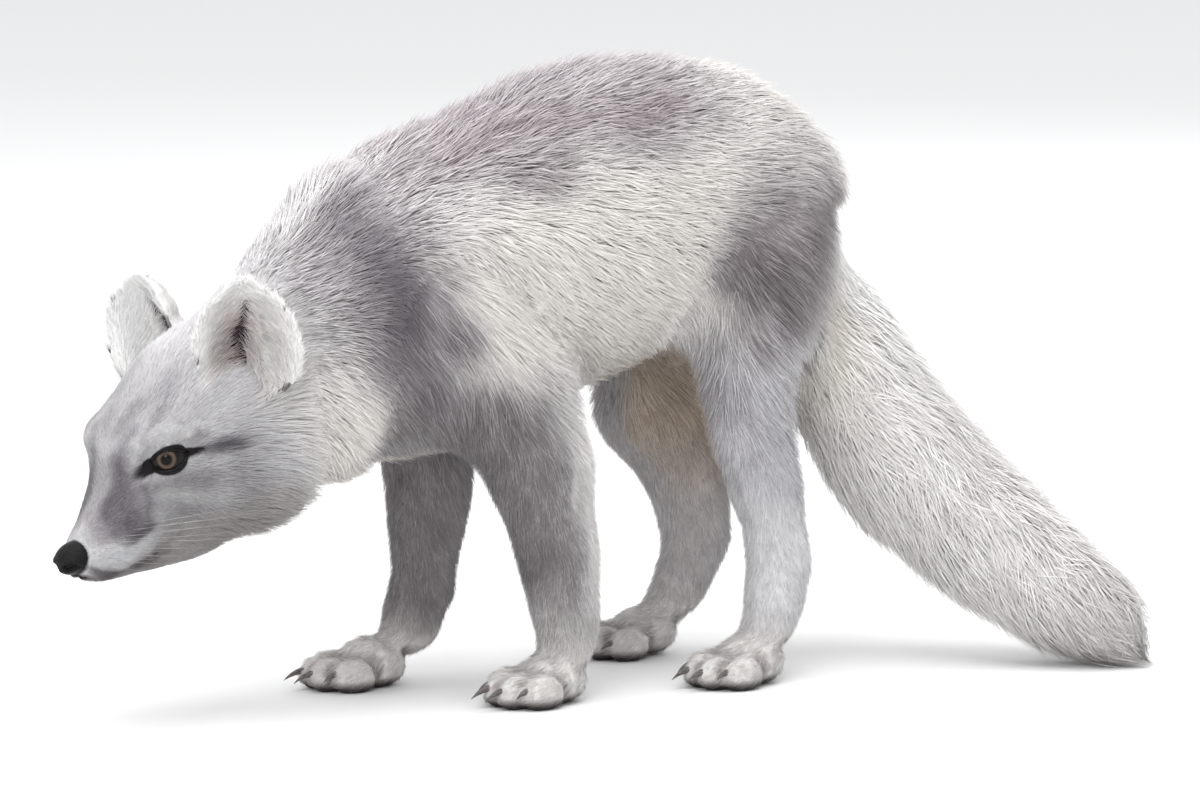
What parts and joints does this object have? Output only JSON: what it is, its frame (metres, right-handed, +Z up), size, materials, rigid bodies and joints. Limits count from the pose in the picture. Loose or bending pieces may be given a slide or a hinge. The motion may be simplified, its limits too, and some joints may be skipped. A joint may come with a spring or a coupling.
{
  "type": "arctic fox model",
  "caption": "Still, life-size arctic fox in its half-moulted coat, walking with its head low and its tail trailing to the floor; it stands on its paws.",
  "frame": {"origin": "on the floor under the middle of the outline", "axes": "+Z up, nose towards -Y, the animal's left side at +X"},
  "size_m": [0.2016, 0.5554, 0.3052],
  "materials": {
    "coat": "thick soft fur, brown-grey saddle and cream-white flanks, head and tail",
    "nose": "moist black nose leather",
    "eye": "wet amber-brown eye with a black pupil",
    "claw": "dark worn horn"
  },
  "bodies": {
    "root": {"trunk": "coat", "neck": "coat", "tail": "coat", "head": "coat", "ear_left": "coat", "ear_right": "coat", "foreleg_left": "coat", "foreleg_right": "coat", "hindleg_left": "coat", "hindleg_right": "coat", "forepaw_left": "coat", "forepaw_right": "coat", "hindpaw_left": "coat", "hindpaw_right": "coat", "nose": "nose", "eye_left": "eye", "eye_right": "eye", "foreclaw_left_1": "claw", "foreclaw_left_2": "claw", "foreclaw_left_3": "claw", "foreclaw_left_4": "claw", "foreclaw_right_1": "claw", "foreclaw_right_2": "claw", "foreclaw_right_3": "claw", "foreclaw_right_4": "claw", "hindclaw_left_1": "claw", "hindclaw_left_2": "claw", "hindclaw_left_3": "claw", "hindclaw_left_4": "claw", "hindclaw_right_1": "claw", "hindclaw_right_2": "claw", "hindclaw_right_3": "claw", "hindclaw_right_4": "claw"}
  },
  "joints": []
}
